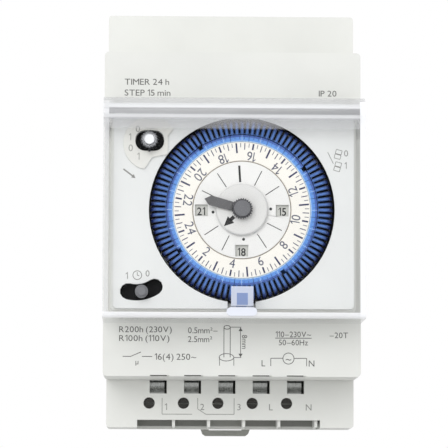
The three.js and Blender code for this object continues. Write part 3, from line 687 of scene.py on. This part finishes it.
def print_scale_ring():
    """Ticks at every quarter of an hour, and a numeral at every second hour."""
    outer = SCALE_OUTER / MM - 0.25
    marks = Marks("scale_marks", front("scale_ring"), "dial", NAVY_INK, "white")
    numerals = Marks("scale_numerals", front("scale_ring"), "dial", SLATE_INK, "white")
    for quarter in range(TAPPETS):
        hour = quarter / 4
        angle = hour_angle(hour)
        if quarter % 8 == 4:
            marks.spoke(DX, DZ, outer - 2.0, outer, angle, 0.33)
        elif quarter % 8 == 0:
            marks.spoke(DX, DZ, outer - 1.25, outer, angle, 0.33)
        elif quarter % 2 == 0:
            marks.spoke(DX, DZ, outer - 1.3, outer, angle, 0.17)
        else:
            numerals.spoke(DX, DZ, outer - 0.85, outer, angle, 0.13)
    for hour in range(2, 26, 2):
        angle = hour_angle(hour)
        radius = outer - 2.6
        x = DX + radius * math.cos(math.radians(angle))
        z = DZ + radius * math.sin(math.radians(angle))
        numerals.text(str(hour), 1.9, x, z, angle + 90, 0.0, 0.92)
    marks.make()
    numerals.make()


def bearing(node):
    """Direction of a CAD node from the dial's centre, in degrees from 0 to 360."""
    offset = centre(node) - DIAL
    return math.degrees(math.atan2(offset.z, offset.x)) % 360


def print_band():
    """Fine lines between the tappet positions on the light band, its darker rim and its pale inner edge."""
    inner, outer = SCALE_OUTER / MM + 0.1, BAND_OUTER / MM - 0.05
    dark = Marks("band_lines", front("program_ring"), "dial", CYAN_INK, "blue")
    for step in range(TAPPETS):
        dark.spoke(DX, DZ, outer - 0.75, outer, (step + 0.5) * TAPPET_PITCH, 0.12)
        if step % 4 == 2:
            dark.spoke(DX, DZ, inner, outer, (step + 0.5) * TAPPET_PITCH, 0.1)
    dark.make()
    # the darker edge stops at the notches that the four hinged tappets lean into
    middle = Marks("band_edge", front("program_ring") + FILM / 2, "dial", MID_INK, "blue")
    notches = [bearing(f"tappet_{k}") for k in HINGED_TAPPETS]
    for step in range(TAPPETS):
        angle = step * TAPPET_PITCH
        if all(abs(angle - notch) > TAPPET_PITCH / 2 for notch in notches):
            start, end = angle - TAPPET_PITCH / 2, angle + TAPPET_PITCH / 2
            middle.arc(DX, DZ, outer - 0.17, 0.4, start, end, steps=1)
    middle.make()
    # the inner end of each notch is bridged, as far in as a leaning tappet leaves room
    bridges = Marks("notch_bridges", front("program_ring"), "dial", BAND, "blue")
    for notch in notches:
        bridges.spoke(DX, DZ, inner + 0.3, inner + 0.68, notch, 1.0)
    bridges.make()
    pale = Marks("band_highlights", front("program_ring"), "dial", PALE_INK, "blue")
    for step in range(0, TAPPETS, 4):
        pale.spoke(DX, DZ, inner, outer, step * TAPPET_PITCH, 0.09)
    pale.arc(DX, DZ, inner + 0.05, 0.2, steps=TAPPETS)
    pale.make()


def print_clock_face():
    """A tick at each hour but 3, 6 and 9, which have a round dot between the middle and their window."""
    marks = Marks("clock_print", front("clock_face"), "frame", BLACK_INK, "white")
    rim = FACE_RADIUS / MM
    low = DZ - PRINT_DROP
    for hour in range(12):
        angle = 90 + PRINT_TURN - 30 * hour
        if hour == 0:
            marks.spoke(DX, low, rim - 4.0, rim - 0.65, angle, 0.42)
        elif hour % 3:
            marks.spoke(DX, low, rim - 4.1, rim - 0.8, angle, 0.16)
        else:
            way = math.radians(angle)
            marks.dot(DX + 5.8 * math.cos(way), low + 5.8 * math.sin(way), 0.29)
    marks.make()
    # painted warm shadow line in the gap round the fixed face
    shadow_line = Marks("face_shadow_line", front("scale_ring") + 0.12 * MM, "dial", SHADOW_LINE_INK, "white")
    shadow_line.arc(DX, DZ, rim + 0.1, 0.19, steps=TAPPETS)
    shadow_line.make()


def print_number_disc():
    """Hours shown in the three windows, and the other set a step further round."""
    marks = Marks("window_hours", front("number_disc"), "numbers", BLACK_INK, "white")
    radius = 8.15
    drop = 0.25
    for angle, words in WINDOW_HOURS.items():
        way = math.radians(angle)
        marks.text(words, 1.6, DX + radius * math.cos(way), DZ - drop + radius * math.sin(way), 0, 0.02, 0.9)
    step = 30  # the disc turns clockwise by this to bring the other set into the windows
    for angle, words in NEXT_WINDOW_HOURS.items():
        # where this hour must start from to land in its window
        reach, sink = math.radians(angle + step), math.radians(step - 90)
        marks.text(words, 1.6, DX + radius * math.cos(reach) + drop * math.cos(sink),
                   DZ + radius * math.sin(reach) + drop * math.sin(sink), step, 0.02, 0.9)
    marks.make()


def print_hour_arrow():
    """The arrow on the hour disc that serves as the hour hand."""
    marks = Marks("hour_arrow", front("hour_disc"), "hour", BLACK_INK, "white")
    way = Vector((math.cos(math.radians(HOUR_HAND_ANGLE)), math.sin(math.radians(HOUR_HAND_ANGLE))))
    side = Vector((-way.y, way.x))
    middle = Vector((DX, DZ))
    tip, base, tail = (middle + way * r for r in (5.0, 3.05, 2.2))
    marks.outline([tuple(tip), tuple(base + side * 0.92), tuple(base - side * 0.92)])
    marks.line(tuple(tail), tuple(base + way * 0.2), 0.75)
    marks.make()


def arrow(marks, start, end, width, head):
    """A straight arrow with a solid head."""
    a, b = Vector(start), Vector(end)
    way = (b - a).normalized()
    side = Vector((-way.y, way.x))
    neck = b - way * head
    marks.line(tuple(a), tuple(neck), width)
    marks.outline([tuple(b), tuple(neck + side * head * 0.55), tuple(neck - side * head * 0.55)])


def print_controls():
    """Signs beside the override knob, the mode slider and the dial."""
    knob = centre("ratchet_wheel") / MM
    marks = Marks("panel_print", front("front_panel"), "frame", GREY_INK, "panel")
    arrow(marks, (knob.x - 5.2, knob.z - 5.7), (knob.x - 2.75, knob.z - 7.55), 0.3, 0.8)
    # 1, clock and 0 over the mode slider
    slot = centre("slot_backing") / MM
    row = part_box("slot_backing")[1].z / MM + 0.55
    marks.text("1", 1.35, slot.x - 2.95, row - 0.1)
    marks.arc(slot.x - 0.85, row, 0.88, 0.15, steps=20)
    marks.path([(slot.x - 0.85, row + 0.6), (slot.x - 0.85, row), (slot.x - 0.45, row - 0.15)], 0.14)
    marks.text("0", 1.3, slot.x + 1.2, row + 0.4)
    # two positions of a pair of tappets, on the right of the dial
    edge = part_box("front_panel")[1].x / MM
    marks.line((edge - 5.3, 11.35), (edge - 4.15, 9.0), 0.12)
    for x, z, digit in ((edge - 3.2, 10.9, "0"), (edge - 3.3, 8.4, "1")):
        tappet_pair(marks, x, z)
        marks.text(digit, 1.3, x + 1.6, z + 0.25)
    marks.make()
    digits = Marks("indicator_print", front("indicator_plate"), "frame", FAINT_INK, "white")
    for dx, dz, words in ((-2.34, 2.4, "0"), (-3.9, 0.75, "1"), (-3.75, -1.45, "0"), (-2.2, -3.15, "1")):
        digits.text(words, 1.4, knob.x + dx, knob.z + dz)
    digits.make()


def tappet_pair(marks, x, z):
    """Two small squares one over the other, leaning a little."""
    lean = math.radians(-15)
    across = Vector((math.cos(lean), math.sin(lean)))
    up = Vector((-across.y, across.x))
    for shift in (-0.48, 0.48):
        middle = Vector((x, z)) + up * shift
        corners = [tuple(middle + across * a * 0.6 + up * b * 0.42) for a, b in SQUARE]
        marks.path(corners, 0.12)


def print_ratings(marks):
    """A plain title over the cover, then reserve, wire sizes, supply and temperature under it."""
    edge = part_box("cap_housing")[0].x / MM
    marks.text("TIMER 24 h", 1.3, edge + 4.1, 27.1, squeeze=1.1, align="LEFT")
    marks.text("STEP 15 min", 1.3, edge + 4.1, 24.85, squeeze=1.1, align="LEFT")
    marks.text("IP 20", 1.25, 19.5, 24.9, squeeze=1.1)
    marks.text("R200h (230V)", 1.25, edge + 3.3, -23.75, squeeze=1.08, align="LEFT")
    marks.text("R100h (110V)", 1.25, edge + 3.3, -25.55, squeeze=1.14, align="LEFT")
    marks.text("0.5mm²–", 1.25, -8.95, -23.9, squeeze=0.96, align="LEFT")
    marks.text("2.5mm²", 1.25, -8.95, -25.7, squeeze=0.95, align="LEFT")
    marks.text("110–230V~", 1.2, 12.5, -24.65, squeeze=0.95)
    marks.line((8.8, -25.45), (16.2, -25.45), 0.14)
    marks.text("50–60Hz", 1.2, 12.5, -26.3, squeeze=0.95)
    marks.text("–20T", 1.2, 21.75, -24.8)


def ellipse(marks, x, z, wide, high, width):
    """An ellipse stroke from its two half axes."""
    points = []
    for i in range(21):
        angle = 2 * math.pi * i / 20
        points.append((x + wide * math.cos(angle), z + high * math.sin(angle)))
    marks.path(points, width)


def print_strip_length(marks):
    """A stripped wire seen at a slant, with its bare length dimensioned."""
    x, top, sheath, foot = -1.0, -23.3, -29.4, -31.1
    ellipse(marks, x, top, 0.64, 0.38, 0.14)
    for side in (-0.64, 0.64):
        marks.line((x + side, top), (x + side, sheath), 0.13)
    ellipse(marks, x - 0.12, sheath, 1.5, 0.75, 0.13)
    for side in (-1.53, 1.38):
        marks.line((x + side, sheath), (x + side, foot), 0.12)
    gauge = x + 2.74
    middle = (top + sheath) / 2
    marks.line((x + 0.6, top + 0.04), (gauge + 0.15, top + 0.04), 0.12)
    marks.line((x + 1.35, sheath - 0.03), (gauge + 0.15, sheath - 0.03), 0.12)
    arrow(marks, (gauge, middle), (gauge, top), 0.12, 0.75)
    arrow(marks, (gauge, middle), (gauge, sheath), 0.12, 0.75)
    marks.text("8mm", 1.1, gauge + 0.85, middle + 0.1, -90, squeeze=0.95)


def print_load(marks):
    """The micro-gap switch sign with its rating, and the supply sign with L and N."""
    row = -29.3
    marks.line((-22.2, row), (-20.6, row), 0.14)
    marks.line((-20.6, row), (-18.5, row + 0.9), 0.14)
    marks.line((-18.3, row), (-16.2, row), 0.14)
    marks.text("µ", 1.1, -19.3, row - 1.05)
    marks.text("16(4) 250~", 1.3, -15.7, row, squeeze=1.07, align="LEFT")
    left, right, low = 7.9, 15.2, -31.15
    middle, circle = 11.5, 1.13
    marks.path([(left, low), (left, row - 0.25), (middle - circle, row - 0.25)], 0.14)
    marks.path([(right, low), (right, row - 0.25), (middle + circle, row - 0.25)], 0.14)
    marks.arc(middle, row - 0.3, circle, 0.14, steps=24)
    marks.text("~", 1.5, middle, row - 0.35)
    marks.text("L", 1.3, left - 1.5, low + 0.6)
    marks.text("N", 1.3, right + 1.0, low + 0.6)


def print_cap():
    """Generic ratings and symbols on the cap, over and under the cover, and a painted shadow in the slit over
    each of its windows.
    """
    marks = Marks("cap_print", CAP_FACE, "frame", DARK_INK, "housing")
    print_ratings(marks)
    print_strip_length(marks)
    print_load(marks)
    marks.make()
    # painted shadow in the narrow slit over each terminal window
    slit_shadows = Marks("window_slit_shadows", CAP_FACE, "frame", BLACK_INK, "housing")
    middle = centre("cage_clamp_3").x / MM
    for k in range(1, 6):
        x = middle + CAP_PITCH * (centre(f"cage_clamp_{k}").x / MM - middle)
        slit_shadows.line((x - SLIT_SHADOW_HALF, SLIT_SHADOW_HEIGHT), (x + SLIT_SHADOW_HALF, SLIT_SHADOW_HEIGHT), 0.18)
    slit_shadows.make()


def print_terminals():
    """Terminal names beside the release holes, with the changeover contact drawn between 1, 2 and 3."""
    marks = Marks("terminal_print", BASE_FRONT, "frame", GREY_INK, "housing")
    for words, x in TERMINAL_NAMES.items():
        marks.text(words, 1.35, x, -38.9)
    top, low = -37.1, -40.45
    marks.path([(-14.1, top), (-14.1, low), (-7.85, low)], 0.13)
    marks.path([(-6.7, top), (-6.7, low + 1.1), (-5.0, low), (0.85, low), (0.85, top)], 0.13)
    marks.make()


def make_piece(name, shape, body, material):
    """Turns a finished bmesh into one piece that rides a body."""
    bmesh.ops.recalc_face_normals(shape, faces=shape.faces)
    mesh = bpy.data.meshes.new(name)
    shape.to_mesh(mesh)
    shape.free()
    link_piece(name, mesh, body, material)


def slab(name, corners, body, material, softness=0.0):
    """Boxes joined as one piece; each is (low, high) in millimetres, with its edges softened."""
    shape = bmesh.new()
    for low, high in corners:
        size = (Vector(high) - Vector(low)) * MM
        place = Matrix.Translation((Vector(low) + Vector(high)) / 2 * MM) @ Matrix.Diagonal((*size, 1.0))
        bmesh.ops.create_cube(shape, size=1.0, matrix=place)
    if softness:
        bmesh.ops.bevel(shape, geom=shape.edges[:], offset=softness * MM, segments=2, affect="EDGES")
    make_piece(name, shape, body, material)


def prism(shape, outline, y0, y1):
    """Adds a plate between two depths; the outline is a list of (x, z), all in millimetres."""
    near = [shape.verts.new((x * MM, y0 * MM, z * MM)) for x, z in outline]
    far = [shape.verts.new((x * MM, y1 * MM, z * MM)) for x, z in outline]
    shape.faces.new(near)
    shape.faces.new(far[::-1])
    for i in range(len(outline)):
        j = (i + 1) % len(outline)
        shape.faces.new((near[j], near[i], far[i], far[j]))


def release_levers():
    """Dark lever ends down the release holes, each halved by a screwdriver slot; their dark colour paints the
    shade inside the holes.
    """
    shape = bmesh.new()
    near = BASE_FRONT / MM + 1.0
    for terminal in range(1, 6):
        hole = centre(f"cage_clamp_{terminal}").x / MM - HOLE_SHIFT
        for turn in (90, -90):
            outline = arc_points(hole, HOLE_HEIGHT, LEVER_RADIUS, turn - 80, 160, 10)
            prism(shape, outline, near, near + 0.8)
    make_piece("release_levers", shape, "frame", SHADED)


def wire_stops():
    """Grey stops at the back of the five wire chambers; their grey paints the shade there."""
    low, high = -42.6, -36.8
    near = BASE_FRONT / MM + 9.6
    for k, (left, right) in enumerate(zip(CHAMBER_WALLS, CHAMBER_WALLS[1:])):
        start = left + (0.65 if k else 0.0)
        corners = [((start, near, low), (right, near + 0.35, high))]
        slab(f"wire_stop_{k + 1}", corners, "frame", LATCH if k == 2 else CHAMBER)


def dust_ring():
    """Dark ring that lines the gap round the dial, standing in for the shade in that gap; open at the bottom
    for the cover's catch.
    """
    outer = DIAL_RADIUS / MM + 0.33
    near, far = front("front_panel") / MM + 0.05, -51.9
    foot, wall, thick = 0.3, 0.07, 0.1
    section = [(outer, near), (outer, far), (outer - foot, far), (outer - foot, far - thick),
               (outer - wall, far - thick), (outer - wall, near)]
    opening = 17.0
    steps = 90
    shape = bmesh.new()
    rows = []
    for i in range(steps + 1):
        angle = math.radians(-90 + opening / 2 + (360 - opening) * i / steps)
        rows.append([shape.verts.new(((DX + radius * math.cos(angle)) * MM, y * MM,
                                      (DZ + radius * math.sin(angle)) * MM)) for radius, y in section])
    count = len(section)
    for row, following in zip(rows, rows[1:]):
        for i in range(count):
            j = (i + 1) % count
            shape.faces.new((row[i], row[j], following[j], following[i]))
    shape.faces.new(rows[0])
    shape.faces.new(rows[-1][::-1])
    make_piece("dust_ring", shape, "frame", BLACK)


def latch_spring():
    """The latch's coil spring, which sits against its peg, as a copy that rides the frame in place of the
    hidden CAD node.
    """
    node = NODES["rail_latch_spring"]
    coil = bpy.data.objects.new("latch_spring_coil", node.data.copy())
    coil.matrix_world = node.matrix_world.copy()
    bpy.context.scene.collection.objects.link(coil)
    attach(coil, "frame")
    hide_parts("rail_latch_spring")
    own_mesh(coil)


def hinge_blocks():
    """White stops beside the cover's two hinge ears."""
    near, far = -56.2, front("front_panel") / MM - 0.02
    low, high = 18.5, 19.75
    corners = [((left, near, low), (right, far, high)) for left, right in HINGE_STOPS]
    slab("hinge_blocks", corners, "frame", WHITE, softness=0.2)


def light(name, place, aim, size, power):
    """A round soft lamp that looks at a point."""
    lamp = bpy.data.lights.new(name, "AREA")
    lamp.shape = "DISK"
    lamp.size = size
    lamp.energy = power
    holder = bpy.data.objects.new(name, lamp)
    holder.location = place
    holder.rotation_euler = (Vector(aim) - Vector(place)).to_track_quat("-Z", "Y").to_euler()
    bpy.context.scene.collection.objects.link(holder)


def studio():
    """A white room, dimmer under foot and overhead, with one soft lamp up to the left."""
    world = bpy.data.worlds.new("studio")
    world.use_nodes = True
    tree = world.node_tree
    place = tree.nodes.new("ShaderNodeTexCoord")
    parts = tree.nodes.new("ShaderNodeSeparateXYZ")
    shade = tree.nodes.new("ShaderNodeValToRGB")
    tree.links.new(place.outputs["Generated"], parts.inputs[0])
    stretch = tree.nodes.new("ShaderNodeMapRange")
    stretch.inputs["From Min"].default_value = -1.0
    stretch.inputs["From Max"].default_value = 1.0
    tree.links.new(parts.outputs["Z"], stretch.inputs["Value"])
    tree.links.new(stretch.outputs["Result"], shade.inputs["Fac"])
    steps = shade.color_ramp.elements
    steps[0].position, steps[0].color = 0.42, level(ROOM_LEVEL)
    steps[1].position, steps[1].color = 0.49, level(1.0)
    for at, value in ((0.63, 1.0), (0.72, ROOM_LEVEL)):
        step = steps.new(at)
        step.color = level(value)
    tree.links.new(shade.outputs["Color"], tree.nodes["Background"].inputs["Color"])
    tree.nodes["Background"].inputs["Strength"].default_value = 1.0
    bpy.context.scene.world = world
    light("key", (-0.3, -0.95, 0.35), (0.0, -0.03, 0.0), 0.7, KEY_POWER)


def floor():
    """A pale floor under the part, which is not part of it."""
    mesh = bpy.data.meshes.new("studio_floor")
    half = 0.8
    corners = [(-half, -half, FLOOR_Z), (half, -half, FLOOR_Z), (half, half, FLOOR_Z), (-half, half, FLOOR_Z)]
    mesh.from_pydata(corners, [], [(0, 1, 2, 3)])
    plane = bpy.data.objects.new("studio_floor", mesh)
    material, _, bsdf = new_material("pale_floor")
    bsdf.inputs["Base Color"].default_value = level(0.8)
    bsdf.inputs["Roughness"].default_value = 0.9
    plane.data.materials.append(material)
    bpy.context.scene.collection.objects.link(plane)


def camera():
    """A long lens a little below the part's middle, looking slightly up at it."""
    data = bpy.data.cameras.new("camera")
    data.lens = LENS
    data.sensor_width = 36.0
    data.clip_start = 0.01
    holder = bpy.data.objects.new("camera", data)
    back = -CAMERA_AIM.normalized()
    right = CAMERA_UP.cross(back).normalized()
    up = back.cross(right)
    turn = Matrix((right, up, back)).transposed()
    holder.matrix_world = Matrix.Translation(CAMERA_PLACE) @ turn.to_4x4()
    bpy.context.scene.collection.objects.link(holder)
    bpy.context.scene.camera = holder


dress_cad_nodes()
print_scale_ring()
print_band()
print_clock_face()
print_number_disc()
print_hour_arrow()
print_controls()
print_cap()
print_terminals()
release_levers()
wire_stops()
dust_ring()
hinge_blocks()
latch_spring()
studio()
floor()
camera()
bpy.context.scene.view_settings.view_transform = "Standard"
